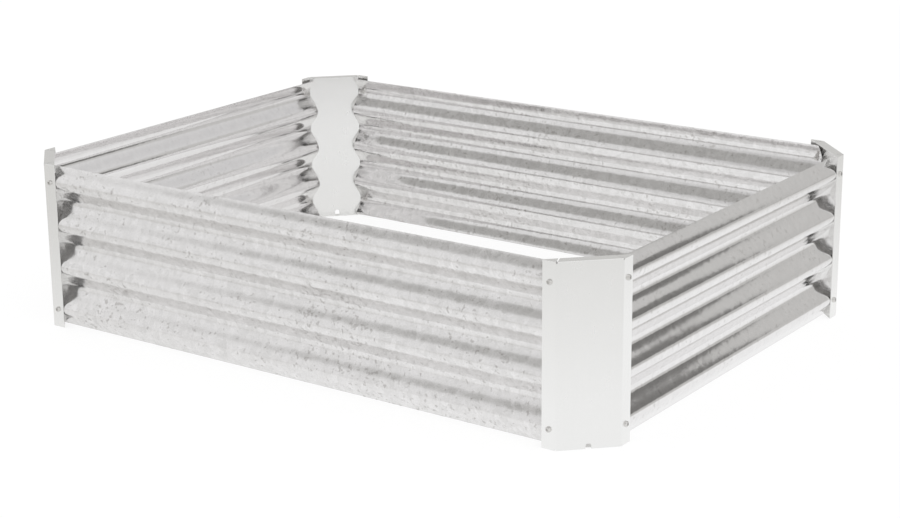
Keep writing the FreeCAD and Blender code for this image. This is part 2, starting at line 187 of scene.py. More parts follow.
# %% Crystals of zinc
SPANGLE = 10 * MM       # usual width of a crystal on continuously dipped sheet
RAGGED = 0.6            # how far a crystal's border strays, as a share of its width
FROST = 2.6 * MM        # grain of the frosty bloom on a crystal
SPECK = 8 * MM          # dark flecks of dross and oxide
PATCH = 160 * MM        # how far it is from a cloudy patch of the coat to the next
DRIP = 14 * MM          # width of the streaks that the zinc left as it ran down
DRIP_STRETCH = 8        # how many times longer than wide a streak is

# how much each layer adds to the paleness of the coat
CRYSTAL_SHARE, FROST_SHARE, DRIP_SHARE = 0.45, 0.4, 0.25
# a fleck shows where the noise passes this level: in clean patches, in flecked ones
FLECKS_RARE, FLECKS_OFTEN = 0.66, 0.56
FLECK_BLUR = 0.08
# parts of the noise's range that are stretched to the full one: soft and strong contrast
SOFT, STRONG = (0.3, 0.7), (0.35, 0.65)
PALE_RANGE = (0.2, 0.9)     # the paleness at which the coat is glossiest and dullest


def noise(tree, where, size, detail=3.0, stretch=(1, 1, 1)):
    """Cloudy noise whose features are about size wide, stretched along the axes."""
    scaled = vector(tree, "MULTIPLY", where, [1 / (size * part) for part in stretch])
    return add_node(tree, "ShaderNodeTexNoise",
                    {"Vector": scaled, "Scale": 1.0, "Detail": detail}).outputs[0]


def between(tree, value, low, high, start=0.0, end=1.0):
    """Map value from low..high to start..end, and stop at the ends."""
    return add_node(tree, "ShaderNodeMapRange",
                    {"Value": value, 1: low, 2: high, 3: start, 4: end}).outputs[0]


def blend(tree, share, first, second):
    """Mix two colours; share is 0 for the first and 1 for the second."""
    return add_node(tree, "ShaderNodeMix", {0: share, 6: first, 7: second},
                    data_type="RGBA").outputs[2]


def new_metal(name, bare=1.0):
    """A new metal: its material, its nodes, its shader and the place on the object."""
    material = bpy.data.materials.new(name)
    material.use_nodes = True
    tree = material.node_tree
    shader = tree.nodes["Principled BSDF"]
    shader.inputs["Metallic"].default_value = bare
    return material, tree, shader, add_node(tree, "ShaderNodeTexCoord").outputs["Object"]


# %% [markdown]
# The sheet's recipe puts the layers together: crystals that tilt the mirror a little, bloom
# that makes it paler and duller, flecks, and cloudy patches that decide where there are more
# of them. It's a function because the photograph shows three kinds of sheet: the long one in
# front is frosty and flecked, the one at the back is grainy, and the short ones are bright.

# %% Galvanised sheet
def galvanised_sheet(name, zinc, bloom, fleck, gloss, dull, tilt, flecks, bare):
    # the bloom is a film of zinc oxide, which isn't bare metal: it scatters light as chalk does
    material, tree, shader, where = new_metal(name, bare)

    # ragged edges: the crystals' borders are pushed about by a fine noise
    push = add_node(tree, "ShaderNodeTexNoise", {"Vector": where, "Scale": 1 / (3 * FROST)})
    shove = scale_by(tree, push.outputs[1], SPANGLE * RAGGED)
    crystal = add_node(tree, "ShaderNodeTexVoronoi",
                       {"Vector": vector(tree, "ADD", where, shove), "Scale": 1 / SPANGLE})
    shade = add_node(tree, "ShaderNodeSeparateXYZ", {0: crystal.outputs["Color"]}).outputs[0]

    # paleness: a shade for each crystal, then the frost on it, then the streaks
    frost = between(tree, noise(tree, where, FROST, 4.0), *SOFT, 0, FROST_SHARE)
    drip = between(tree, noise(tree, where, DRIP, 3.0, (1, 1, DRIP_STRETCH)), *STRONG)
    paleness = sum_up(tree, "MULTIPLY_ADD", shade, CRYSTAL_SHARE, frost)
    paleness = sum_up(tree, "MULTIPLY_ADD", drip, DRIP_SHARE, paleness)
    coat = blend(tree, paleness, linear(zinc), linear(bloom))

    # flecks: the cloudy patches set the level that the noise has to pass
    patch = noise(tree, where, PATCH, 2.0)
    level = between(tree, patch, *STRONG, FLECKS_RARE, FLECKS_OFTEN)
    above = sum_up(tree, "SUBTRACT", noise(tree, where, SPECK, 6.0), level)
    spotted = between(tree, above, 0.0, FLECK_BLUR, 0.0, flecks)
    tree.links.new(blend(tree, spotted, coat, linear(fleck)), shader.inputs["Base Color"])

    rough = between(tree, paleness, *PALE_RANGE, gloss, dull)
    tree.links.new(rough, shader.inputs["Roughness"])

    # each crystal leans its own way, told by its random colour
    lean = vector(tree, "SUBTRACT", crystal.outputs["Color"], (0.5, 0.5, 0.5))
    facing = add_node(tree, "ShaderNodeNewGeometry").outputs["Normal"]
    tipped = vector(tree, "ADD", facing, scale_by(tree, lean, tilt))
    tree.links.new(vector(tree, "NORMALIZE", tipped), shader.inputs["Normal"])
    return material


FROSTED_SHEET = galvanised_sheet(
    "frosted_hot_dip_zinc", zinc="#e2e1e0", bloom="#fcfbfb", fleck="#b4b1ae",
    gloss=0.13, dull=0.21, tilt=0.03, flecks=0.55, bare=0.8)
GRAINY_SHEET = galvanised_sheet(
    "grainy_hot_dip_zinc", zinc="#dfdedd", bloom="#f8f7f7", fleck="#bab7b4",
    gloss=0.11, dull=0.16, tilt=0.03, flecks=0.5, bare=0.95)
BRIGHT_SHEET = galvanised_sheet(
    "bright_hot_dip_zinc", zinc="#ecebeb", bloom="#f5f4f4", fleck="#c4c1bf",
    gloss=0.10, dull=0.14, tilt=0.015, flecks=0.3, bare=1.0)


# %% [markdown]
# The posts are the calmest surface of the bed: smooth sheet with a satin coat. A perfectly
# even coat would look like plastic, so it gets a very faint rolling grain and a slow waviness
# that the folding left in the sheet. Behind the flanges, where they cover the waves, shade is
# painted into the coat as a darker colour, which makes the pockets there dark.

# %% Satin sheet of the posts
ROLLING = 3 * MM        # spacing of the faint lines from the rolls, drawn coarse enough to show
ROLLING_STRETCH = 30    # how many times longer than wide such a line is
ROLLING_SHARE = 0.4     # how much of the grain is lines; the rest is cloud
CLOUD = 30 * MM
WAVINESS = 90 * MM      # slow buckles of a folded sheet
BUCKLE_DEPTH, BUCKLE_STRENGTH = 0.6 * MM, 0.5
# painted shade: the darker colour given to the flanges' inner faces, where the pockets lie in
# shade
POCKET_SHADE_PAINT = "#9a9997"
SHEET_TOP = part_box("front_long_panel")[1].z
FLANGE_ZONE = 10 * MM   # the flanges lie in this outermost strip of the bed
FLANGE_PLANES = [side - FLANGE_ZONE for side in cad_high[:2]]
FACES_INWARDS = -0.9    # a face looks inwards where its outward part is less than this


def satin_sheet(name, zinc, bloom, gloss, dull):
    material, tree, shader, where = new_metal(name)
    lines = noise(tree, where, ROLLING, 2.0, (1, 1, ROLLING_STRETCH))
    cloud = sum_up(tree, "MULTIPLY", noise(tree, where, CLOUD, 4.0), 1 - ROLLING_SHARE)
    grain = sum_up(tree, "MULTIPLY_ADD", lines, ROLLING_SHARE, cloud)
    coat = blend(tree, between(tree, grain, *SOFT), linear(zinc), linear(bloom))

    # painted shade: the flanges' inner faces, which lie against the waves, get a darker colour
    facing = add_node(tree, "ShaderNodeNewGeometry").outputs["True Normal"]
    painted_pocket_shade = 0
    under_edge = sum_up(tree, "LESS_THAN", vector(tree, "DOT_PRODUCT", where, (0, 0, 1)),
                        SHEET_TOP)
    for across, inner in (((1, 0, 0), FLANGE_PLANES[0]), ((0, 1, 0), FLANGE_PLANES[1])):
        out = vector(tree, "DOT_PRODUCT", where, across)
        near_plane = sum_up(tree, "GREATER_THAN", sum_up(tree, "ABSOLUTE", out), inner)
        turned = sum_up(tree, "MULTIPLY", vector(tree, "DOT_PRODUCT", facing, across),
                        sum_up(tree, "SIGN", out))
        back_face = sum_up(tree, "LESS_THAN", turned, FACES_INWARDS)
        painted_pocket_shade = sum_up(tree, "MULTIPLY_ADD", near_plane, back_face, painted_pocket_shade)
    painted_pocket_shade = sum_up(tree, "MULTIPLY", painted_pocket_shade, under_edge)
    coat = blend(tree, painted_pocket_shade, coat, linear(POCKET_SHADE_PAINT))
    tree.links.new(coat, shader.inputs["Base Color"])
    tree.links.new(between(tree, grain, *SOFT, gloss, dull), shader.inputs["Roughness"])

    bump = add_node(tree, "ShaderNodeBump",
                    {"Height": noise(tree, where, WAVINESS, 1.0), "Distance": BUCKLE_DEPTH,
                     "Strength": BUCKLE_STRENGTH})
    tree.links.new(bump.outputs[0], shader.inputs["Normal"])
    return material


SATIN_POST = satin_sheet(
    "satin_zinc_sheet", zinc="#f9f9f8", bloom="#fcfcfb", gloss=0.24, dull=0.28)


# %% [markdown]
# Plated screws are shiny, with fine marks from the tool that pressed them.

# %% Plated fasteners
TOOL_MARK = 0.8 * MM    # width of a mark


def plated(name, zinc, worn, gloss, dull):
    material, tree, shader, where = new_metal(name)
    marks = noise(tree, where, TOOL_MARK)
    coat = blend(tree, between(tree, marks, *STRONG), linear(worn), linear(zinc))
    tree.links.new(coat, shader.inputs["Base Color"])
    tree.links.new(between(tree, marks, *SOFT, dull, gloss), shader.inputs["Roughness"])
    return material


BRIGHT_PLATE = plated(
    "bright_zinc_plate", zinc="#eeedec", worn="#d2d0cc", gloss=0.18, dull=0.30)

# %% [markdown]
# ## Where the screws sit
#
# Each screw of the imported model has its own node, so its box tells where it is. Long-side
# screws point out along Y and short-side ones along X. The places are kept as a cloud of
# points with an arrow each, which the recipes for holes, screws and nuts all read.

# %% Places of the screws
HEAD_HEIGHT = 3.4 * MM
screw_nodes = sorted(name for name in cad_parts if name.startswith("screw_"))
nut_nodes = sorted(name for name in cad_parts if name.startswith("nut_"))
seats, arrows = [], []
for name in screw_nodes:
    low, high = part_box(name)
    middle = (low + high) / 2
    arrow = Vector((0, math.copysign(1, middle.y), 0))
    if "_short_" in name:
        arrow = Vector((math.copysign(1, middle.x), 0, 0))
    reach = (high - low).dot(Vector(map(abs, arrow))) / 2
    seats.append(middle + arrow * (reach - HEAD_HEIGHT))
    arrows.append(arrow)

cloud = bpy.data.meshes.new("screw_places")
cloud.from_pydata(seats, [], [])
outward = cloud.attributes.new("outward", "FLOAT_VECTOR", "POINT")
outward.data.foreach_set("vector", [part for arrow in arrows for part in arrow])
places = bpy.data.objects.new("screw_places", cloud)
scene.collection.objects.link(places)
print(len(seats), "screw places, the first at", [round(part / MM, 1) for part in seats[0]])


# %% [markdown]
# All three recipes turn copies so that their own Z axis follows the arrow. That bit is the
# same each time, so it's written once. So is the shading: rounded faces are smooth, and cut
# and folded edges are crisp.

# %% Copies on the screw places, and shading
def copy_to_places(tree, places_input, shape):
    """Put a copy of shape on every place, its Z axis along the place's arrow."""
    points = add_node(tree, "GeometryNodeObjectInfo", {"Object": places_input},
                      transform_space="RELATIVE")
    arrow = add_node(tree, "GeometryNodeInputNamedAttribute", {"Name": "outward"},
                     data_type="FLOAT_VECTOR")
    turned = add_node(tree, "FunctionNodeAlignRotationToVector",
                      {"Vector": arrow.outputs[0]}, axis="Z")
    copies = add_node(tree, "GeometryNodeInstanceOnPoints",
                      {"Points": points.outputs["Geometry"], "Instance": shape,
                       "Rotation": turned.outputs[0]})
    return add_node(tree, "GeometryNodeRealizeInstances",
                    {"Geometry": copies.outputs[0]}).outputs[0]


def smooth_but_crisp(tree, geometry, degrees):
    """Smooth shading, but crisp along the edges that bend by more than degrees."""
    smooth = add_node(tree, "GeometryNodeSetShadeSmooth", {0: geometry})
    angle = add_node(tree, "GeometryNodeInputMeshEdgeAngle").outputs[0]
    corner = sum_up(tree, "GREATER_THAN", angle, math.radians(degrees))
    return add_node(tree, "GeometryNodeSetShadeSmooth",
                    {0: smooth.outputs[0], "Selection": corner, "Shade Smooth": False},
                    domain="EDGE").outputs[0]


# %% [markdown]
# ## The corrugated sheets
#
# The sheet's wave could be modelled by hand and stretched, but a rule is better than a hand:
# a flat grid is lifted into the wave by a formula, so every crest is the same and the curve
# stays smooth in the reflections.
#
# The formula is a cosine of the height above a crest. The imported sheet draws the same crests
# and valleys with arcs, which are never more than 1.2 mm from it. The cosine is kept here
# because its reflections run as they do in the photograph.

# %% Recipe of a corrugated sheet
DRILL_LENGTH = 30 * MM      # long enough to pass through a whole wave
WELD = 0.02 * MM            # points closer than this become one


def wave_offset(tree, climb, pitch, depth):
    """How far inwards the middle of the sheet lies at a height above a crest."""
    turn = sum_up(tree, "DIVIDE", sum_up(tree, "MULTIPLY", climb, math.tau), pitch)
    dip = sum_up(tree, "SUBTRACT", 1, sum_up(tree, "COSINE", turn))
    return sum_up(tree, "MULTIPLY", dip, sum_up(tree, "DIVIDE", depth, 2))


def sheet_recipe():
    tree, size = new_tree(
        "corrugated_sheet", length="size", height="size", lowest_crest="size",
        crest_pitch="size", wave_depth="size", gauge="size", rows="count", columns="count",
        middle="point", turn="point", holes="object", hole_width="size", metal="material")

    grid = add_node(tree, "GeometryNodeMeshGrid",
                    {"Size X": size["length"], "Size Y": size["height"],
                     "Vertices X": size["columns"], "Vertices Y": size["rows"]})
    point = add_node(tree, "ShaderNodeSeparateXYZ",
                     {0: add_node(tree, "GeometryNodeInputPosition").outputs[0]})
    climb = sum_up(tree, "MULTIPLY_ADD", size["height"], 0.5, point.outputs[1])
    above_crest = sum_up(tree, "SUBTRACT", climb, size["lowest_crest"])
    inwards = wave_offset(tree, above_crest, size["crest_pitch"], size["wave_depth"])
    on_middle = sum_up(tree, "MULTIPLY_ADD", size["gauge"], 0.5, inwards)
    waved = add_node(tree, "ShaderNodeCombineXYZ",
                     {0: point.outputs[0], 1: on_middle, 2: climb})
    wave = add_node(tree, "GeometryNodeSetPosition",
                    {"Geometry": grid.outputs[0], "Position": waved.outputs[0]})

    # the wave is the middle of the sheet: step back half the gauge, then give it thickness
    facing = add_node(tree, "GeometryNodeInputNormal").outputs[0]
    back = scale_by(tree, facing, sum_up(tree, "MULTIPLY", size["gauge"], -0.5))
    inner = add_node(tree, "GeometryNodeSetPosition",
                     {"Geometry": wave.outputs[0], "Offset": back})
    thick = add_node(tree, "GeometryNodeExtrudeMesh",
                     {"Mesh": inner.outputs[0], "Offset": facing,
                      "Offset Scale": size["gauge"], "Individual": False}, mode="FACES")
    inner_face = add_node(tree, "GeometryNodeFlipFaces", {0: inner.outputs[0]})
    both = add_node(tree, "GeometryNodeJoinGeometry")
    tree.links.new(thick.outputs[0], both.inputs[0])
    tree.links.new(inner_face.outputs[0], both.inputs[0])
    closed = add_node(tree, "GeometryNodeMergeByDistance",
                      {"Geometry": both.outputs[0], "Distance": WELD})
    placed = add_node(tree, "GeometryNodeTransform",
                      {"Geometry": closed.outputs[0], "Translation": size["middle"],
                       "Rotation": size["turn"]})

    drill = add_node(tree, "GeometryNodeMeshCylinder",
                     {"Vertices": 20, "Depth": DRILL_LENGTH,
                      "Radius": sum_up(tree, "DIVIDE", size["hole_width"], 2)})
    drills = copy_to_places(tree, size["holes"], drill.outputs[0])
    drilled = add_node(tree, "GeometryNodeMeshBoolean", {0: placed.outputs[0], 1: drills},
                       operation="DIFFERENCE", solver="EXACT")

    close_tree(tree, smooth_but_crisp(tree, drilled.outputs[0], 40), size["metal"])
    return tree


# %% [markdown]
# The recipe is run four times, with the sizes of the real sheet: 0.8 mm steel, a crest every
# 78 mm and waves 20 mm deep, which is a usual roofing profile. Place and length come from
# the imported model's own boxes.

# %% Make the four sheets
WAVE = {"crest_pitch": 78 * MM, "wave_depth": 20 * MM, "gauge": 0.8 * MM,
        "lowest_crest": 30.5 * MM, "hole_width": 5.5 * MM,
        "rows": 196, "columns": 36}     # a row each 1.5 mm keeps the reflections smooth
SHEETS = {
    "front": ("front_long_panel", 0, FROSTED_SHEET),
    "right": ("right_short_panel", 90, BRIGHT_SHEET),
    "back": ("back_long_panel", 180, GRAINY_SHEET),
    "left": ("left_short_panel", 270, BRIGHT_SHEET),
}
recipe = sheet_recipe()
for side, (node, degrees, metal) in SHEETS.items():
    low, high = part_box(node)
    middle = (low + high) / 2
    turn = Matrix.Rotation(math.radians(degrees), 3, "Z")
    # the recipe draws the sheet's outermost face on its own X axis, looking towards -Y
    depth, length = sorted((high - low).xy)
    start = Vector((middle.x, middle.y, low.z)) + turn @ Vector((0, -depth / 2, 0))
    sheet = grow(f"corrugated_sheet_{side}", recipe, length=length, height=high.z - low.z,
                 middle=start, turn=(0, 0, math.radians(degrees)), holes=places, metal=metal,
                 **WAVE)
    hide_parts(node)
    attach(sheet, "root")

# %% [markdown]
# ## Screws
#
# A pan head screw is a low drum with a rounded rim and a cross pressed into it, on a
# threaded shank. The rim's rounding is a rule too: the drum's rings are drawn in along an
# arc as they near the top. The thread is a real helix, a small triangle that follows a
# spiral, because the last turns show inside the bed, past the nut.

# %% Recipe of a pan head screw
def pan_head(tree, width, height, rounding):
    """A drum whose rim is rounded by an arc, standing on its own ground plane."""
    radius = sum_up(tree, "DIVIDE", width, 2)
    drum = add_node(tree, "GeometryNodeMeshCylinder",
                    {"Vertices": 40, "Side Segments": 12, "Fill Segments": 3,
                     "Radius": radius, "Depth": height})
    point = add_node(tree, "ShaderNodeSeparateXYZ",
                     {0: add_node(tree, "GeometryNodeInputPosition").outputs[0]})
    level = sum_up(tree, "MULTIPLY_ADD", height, 0.5, point.outputs[2])
    start = sum_up(tree, "SUBTRACT", height, rounding)
    rise = sum_up(tree, "MAXIMUM", sum_up(tree, "SUBTRACT", level, start), 0)
    squares = sum_up(tree, "SUBTRACT", sum_up(tree, "POWER", rounding, 2),
                     sum_up(tree, "POWER", rise, 2))
    arc = sum_up(tree, "SQRT", sum_up(tree, "MAXIMUM", squares, 0))
    ring = sum_up(tree, "ADD", sum_up(tree, "SUBTRACT", radius, rounding), arc)
    share = sum_up(tree, "DIVIDE", ring, radius)
    moved = add_node(tree, "ShaderNodeCombineXYZ",
                     {0: sum_up(tree, "MULTIPLY", point.outputs[0], share),
                      1: sum_up(tree, "MULTIPLY", point.outputs[1], share), 2: level})
    return add_node(tree, "GeometryNodeSetPosition",
                    {"Geometry": drum.outputs[0], "Position": moved.outputs[0]}).outputs[0]


def screw_recipe():
    tree, size = new_tree(
        "pan_head_screw", places="object", head_width="size", head_height="size",
        head_round="size", shank_width="size", shank_length="size", thread_pitch="size",
        recess_span="size", recess_wing="size", recess_depth="size", metal="material")
    head = pan_head(tree, size["head_width"], size["head_height"], size["head_round"])

    # two crossed bars, centred on the top of the head, press the recess into it
    cross = add_node(tree, "GeometryNodeMeshBoolean", {0: head},
                     operation="DIFFERENCE", solver="EXACT")
    for quarter in (0, math.pi / 2):
        tall = sum_up(tree, "MULTIPLY", size["recess_depth"], 2)
        box = add_node(tree, "ShaderNodeCombineXYZ",
                       {0: size["recess_span"], 1: size["recess_wing"], 2: tall})
        bar = add_node(tree, "GeometryNodeMeshCube", {"Size": box.outputs[0]})
        up = add_node(tree, "ShaderNodeCombineXYZ", {2: size["head_height"]})
        raised = add_node(tree, "GeometryNodeTransform",
                          {"Geometry": bar.outputs[0], "Translation": up.outputs[0],
                           "Rotation": (0, 0, quarter + math.pi / 4)})
        tree.links.new(raised.outputs[0], cross.inputs[1])

    groove = sum_up(tree, "MULTIPLY", size["thread_pitch"], 0.5)
    core = sum_up(tree, "SUBTRACT", sum_up(tree, "DIVIDE", size["shank_width"], 2), groove)
    shank = add_node(tree, "GeometryNodeMeshCylinder",
                     {"Vertices": 24, "Radius": core, "Depth": size["shank_length"]})
    half_down = sum_up(tree, "MULTIPLY", size["shank_length"], -0.5)
    down = add_node(tree, "ShaderNodeCombineXYZ", {2: half_down})
    hung = add_node(tree, "GeometryNodeTransform",
                    {"Geometry": shank.outputs[0], "Translation": down.outputs[0]})

    ridge = sum_up(tree, "MULTIPLY", groove, 2 / 3)
    follow = sum_up(tree, "SUBTRACT", sum_up(tree, "DIVIDE", size["shank_width"], 2), ridge)
    run = sum_up(tree, "SUBTRACT", size["shank_length"], size["thread_pitch"])
    spiral = add_node(tree, "GeometryNodeCurveSpiral",
                      {"Resolution": 16, "Start Radius": follow, "End Radius": follow,
                       "Rotations": sum_up(tree, "DIVIDE", run, size["thread_pitch"]),
                       "Height": run})
    triangle = add_node(tree, "GeometryNodeCurvePrimitiveCircle",
                        {"Resolution": 3, "Radius": ridge})
    thread = add_node(tree, "GeometryNodeCurveToMesh",
                      {"Curve": spiral.outputs[0], "Profile Curve": triangle.outputs[0],
                       "Fill Caps": True})
    full_down = sum_up(tree, "MULTIPLY_ADD", size["thread_pitch"], 0.25,
                       sum_up(tree, "MULTIPLY", size["shank_length"], -1))
    base = add_node(tree, "ShaderNodeCombineXYZ", {2: full_down})
    wound = add_node(tree, "GeometryNodeTransform",
                     {"Geometry": thread.outputs[0], "Translation": base.outputs[0]})

    whole = add_node(tree, "GeometryNodeJoinGeometry")
    for part in (cross, hung, wound):
        tree.links.new(part.outputs[0], whole.inputs[0])
    crisp = smooth_but_crisp(tree, whole.outputs[0], 35)
    copies = copy_to_places(tree, size["places"], crisp)
    close_tree(tree, copies, size["metal"])
    return tree


# %% [markdown]
# M5 is the screw such beds come with: 0.8 mm thread pitch and a 9.5 mm head. The shank's
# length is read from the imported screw.

# %% Make the screws
SCREW = {"head_width": 9.5 * MM, "head_height": HEAD_HEIGHT, "head_round": 2 * MM,
         "shank_width": 5 * MM, "thread_pitch": 0.8 * MM, "recess_span": 5.2 * MM,
         "recess_wing": 1.2 * MM, "recess_depth": 2 * MM}
first_low, first_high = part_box(screw_nodes[0])
whole_length = max(first_high - first_low)
screws = grow("pan_head_screws", screw_recipe(), places=places, metal=BRIGHT_PLATE,
              shank_length=whole_length - HEAD_HEIGHT, **SCREW)
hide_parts(*screw_nodes)
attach(screws, "root")

# %% [markdown]
# ## Nuts
#
# A nut is a six-sided prism whose corners were turned off on a lathe. That is just what the
# recipe does: it keeps what a hexagon and a chamfered drum have in common, then drills it.

# %% Recipe of a hexagon nut
def nut_recipe():
    tree, size = new_tree("hexagon_nut", places="object", flats="size", height="size",
                          chamfer="size", bore="size", depth="size", metal="material")
    corner = sum_up(tree, "DIVIDE", size["flats"], 2 * math.cos(math.radians(30)))
    prism = add_node(tree, "GeometryNodeMeshCylinder",
                     {"Vertices": 6, "Radius": corner, "Depth": size["height"]})

    drum = add_node(tree, "GeometryNodeMeshCylinder",
                    {"Vertices": 48, "Side Segments": 6, "Radius": corner,
                     "Depth": size["height"]})
    point = add_node(tree, "ShaderNodeSeparateXYZ",
                     {0: add_node(tree, "GeometryNodeInputPosition").outputs[0]})
    level = sum_up(tree, "ABSOLUTE", point.outputs[2])
    half = sum_up(tree, "DIVIDE", size["height"], 2)
    start = sum_up(tree, "SUBTRACT", half, size["chamfer"])
    over = sum_up(tree, "MAXIMUM", sum_up(tree, "SUBTRACT", level, start), 0)
    # the chamfer is shallow: it reaches in about 1.7 times as far as it goes down
    drawn_in = sum_up(tree, "MULTIPLY", over, math.tan(math.radians(60)))
    share = sum_up(tree, "SUBTRACT", 1, sum_up(tree, "DIVIDE", drawn_in, corner))
    moved = add_node(tree, "ShaderNodeCombineXYZ",
                     {0: sum_up(tree, "MULTIPLY", point.outputs[0], share),
                      1: sum_up(tree, "MULTIPLY", point.outputs[1], share),
                      2: point.outputs[2]})
    turned = add_node(tree, "GeometryNodeSetPosition",
                      {"Geometry": drum.outputs[0], "Position": moved.outputs[0]})
    common = add_node(tree, "GeometryNodeMeshBoolean", {1: prism.outputs[0]},
                      operation="INTERSECT", solver="EXACT")
    tree.links.new(turned.outputs[0], common.inputs[1])

    drill = add_node(tree, "GeometryNodeMeshCylinder",
                     {"Vertices": 24, "Radius": sum_up(tree, "DIVIDE", size["bore"], 2),
                      "Depth": sum_up(tree, "MULTIPLY", size["height"], 2)})
    bored = add_node(tree, "GeometryNodeMeshBoolean",
                     {0: common.outputs[0], 1: drill.outputs[0]},
                     operation="DIFFERENCE", solver="EXACT")
    down = add_node(tree, "ShaderNodeCombineXYZ",
                    {2: sum_up(tree, "MULTIPLY", size["depth"], -1)})
    seated = add_node(tree, "GeometryNodeTransform",
                      {"Geometry": bored.outputs[0], "Translation": down.outputs[0]})
    copies = copy_to_places(tree, size["places"], seated.outputs[0])
    close_tree(tree, copies, size["metal"])
    return tree


# %% [markdown]
# How deep a nut sits behind its screw's seat is the distance between the two packed boxes.

# %% Make the nuts
NUT = {"flats": 8 * MM, "height": 4 * MM, "chamfer": 0.5 * MM, "bore": 5.1 * MM}
nut_low, nut_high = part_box(nut_nodes[0])
nut_depth = (seats[0] - (nut_low + nut_high) / 2).dot(arrows[0])
print("the nuts' middles sit", round(nut_depth / MM, 2), "mm behind the flanges' faces")
nuts = grow("hexagon_nuts", nut_recipe(), places=places, metal=BRIGHT_PLATE,
            depth=nut_depth, **NUT)
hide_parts(*nut_nodes)
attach(nuts, "root")
bpy.data.objects.remove(places)

# %% [markdown]
# ## Posts
#
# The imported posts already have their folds, slits, notches and holes at real size, so their
# meshes stay. Only their metal is set.

# %% Coat the posts
for name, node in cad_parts.items():
    if name.endswith("_post"):
        node.data.materials.clear()
        node.data.materials.append(SATIN_POST)

# %% [markdown]
# ## Studio
#
# Metal shows the room, so the room is most of its look. Where the waves of the photographed
# bed are bright and where they are dark tells what stood round it: big soft lamps to the left
# and right, white paper under it, a dim ceiling that leans over from the front, two darker
# panels in it, and a grey wall behind it on the right.
#
# Lamps could be placed for all that, but a smooth room is easier to steer and leaves no
# noise. The world is worked out from the direction alone, one layer over the other.

# %% The world round the bed
WALL_LIT, WALL_DULL = "#ffffff", "#c5c4c4"    # the brightest and the dullest of the walls
LAMP_WAY = (0.49, -0.87, 0)       # the corner of the room that the lamps favour
# how lit a wall is anywhere, and what the sides and the lamps' corner add to that
BASE_LIGHT, SIDE_LIGHT, LAMP_LIGHT = 0.26, 0.56, 0.31
# overhead: middle, edge in degrees, blur in degrees, colour
OVERHEAD = {
    "dim_ceiling": ((0.04, -0.99, 1.0), 29.1, 4.0, "#c5c4c4"),
    "dark_panel": ((-0.41, -0.31, 0.78), 17.3, 3.0, "#adacaa"),
    "dark_panel_front": ((0.1, -0.79, 0.85), 12.5, 1.5, "#adacaa"),
}
GREY = "#c9c8c6"
GREY_START = (-0.31, 0.95, 0)     # the grey wall starts where this turns positive
GREY_TOP, GREY_SOFT = 0.43, 0.05  # its top and blur, as the sine of the climb
GREY_FADE, BEHIND_FADE = (-0.1, 0.1), (0.2, 0.4)    # where its ends fade in

world = bpy.data.worlds.new("white_studio")
world.use_nodes = True
scene.world = world
sky = world.node_tree
way = add_node(sky, "ShaderNodeTexCoord").outputs["Generated"]


def patch_round(tree, direction, middle, edge, blur):
    """1 within edge degrees of middle, fading to 0 over twice the blur."""
    facing = vector(tree, "DOT_PRODUCT", direction, Vector(middle).normalized())
    rim = [math.cos(math.radians(edge + side * blur)) for side in (1, -1)]
    return add_node(tree, "ShaderNodeMapRange", {"Value": facing, 1: rim[0], 2: rim[1]},
                    interpolation_type="SMOOTHSTEP").outputs[0]


level_way = vector(sky, "NORMALIZE", vector(sky, "MULTIPLY", way, (1, 1, 0)))
sideways = sum_up(sky, "POWER", vector(sky, "DOT_PRODUCT", level_way, (1, 0, 0)), 2.0)
towards = vector(sky, "DOT_PRODUCT", level_way, LAMP_WAY)
light = sum_up(sky, "MULTIPLY_ADD", towards, LAMP_LIGHT, BASE_LIGHT)
light = sum_up(sky, "MULTIPLY_ADD", sideways, SIDE_LIGHT, light)
room = blend(sky, light, linear(WALL_DULL), linear(WALL_LIT))
for middle, edge, blur, colour in OVERHEAD.values():
    room = blend(sky, patch_round(sky, way, middle, edge, blur), room, linear(colour))

climb = vector(sky, "DOT_PRODUCT", way, (0, 0, 1))
started = between(sky, vector(sky, "DOT_PRODUCT", level_way, GREY_START), *GREY_FADE)
behind = between(sky, vector(sky, "DOT_PRODUCT", level_way, (0, 1, 0)), *BEHIND_FADE)
low_down = between(sky, climb, GREY_TOP + GREY_SOFT, GREY_TOP - GREY_SOFT)
covered = sum_up(sky, "MULTIPLY", sum_up(sky, "MULTIPLY", started, behind), low_down)
room = blend(sky, covered, room, linear(GREY))

seen = add_node(sky, "ShaderNodeLightPath").outputs["Is Camera Ray"]
background = sky.nodes["Background"]
sky.links.new(blend(sky, seen, room, linear("#ffffff")), background.inputs["Color"])
background.inputs["Strength"].default_value = 1.0

# %% [markdown]
# The floor is white paper. To the camera it is white by itself, with a share of real,
# shaded paper mixed in so that the bed keeps a soft shadow. In the metal it mirrors as
# white too, dimmer with distance from the bed, as light falls off on real paper, and grey
# where the paper ends behind the bed.

# %% The floor
POOL_MIDDLE = (0.5, -0.1, 0)         # where the lamps light the paper most
POOL_INNER, POOL_OUTER = 0.5, 1.9
PAPER_NEAR, PAPER_FAR = "#f6f6f6", "#dad9d7"
PAPER_END, PAPER_END_SOFT = 5.5, 2.5
PAPER_UNLIT = "#a8a7a4"
PAPER_WAY = (0.57, 0.82, 0)       # the side on which the paper ends
PAPER_SHADED = "#f2f2f2"
CAMERA_WHITE, CAMERA_SHADED = 0.86, 0.25     # what the camera sees: plain white, shaded paper
REACH = 30                           # from the bed to the floor's sides
DROP = 0.3 * MM                      # the floor lies this far under the posts' feet

floor_mesh = bpy.data.meshes.new("paper_floor")
floor_mesh.from_pydata([(-REACH, -REACH, 0), (REACH, -REACH, 0), (REACH, REACH, 0),
                        (-REACH, REACH, 0)], [], [(0, 1, 2, 3)])
floor = bpy.data.objects.new("paper_floor", floor_mesh)
scene.collection.objects.link(floor)
floor.location.z = -DROP

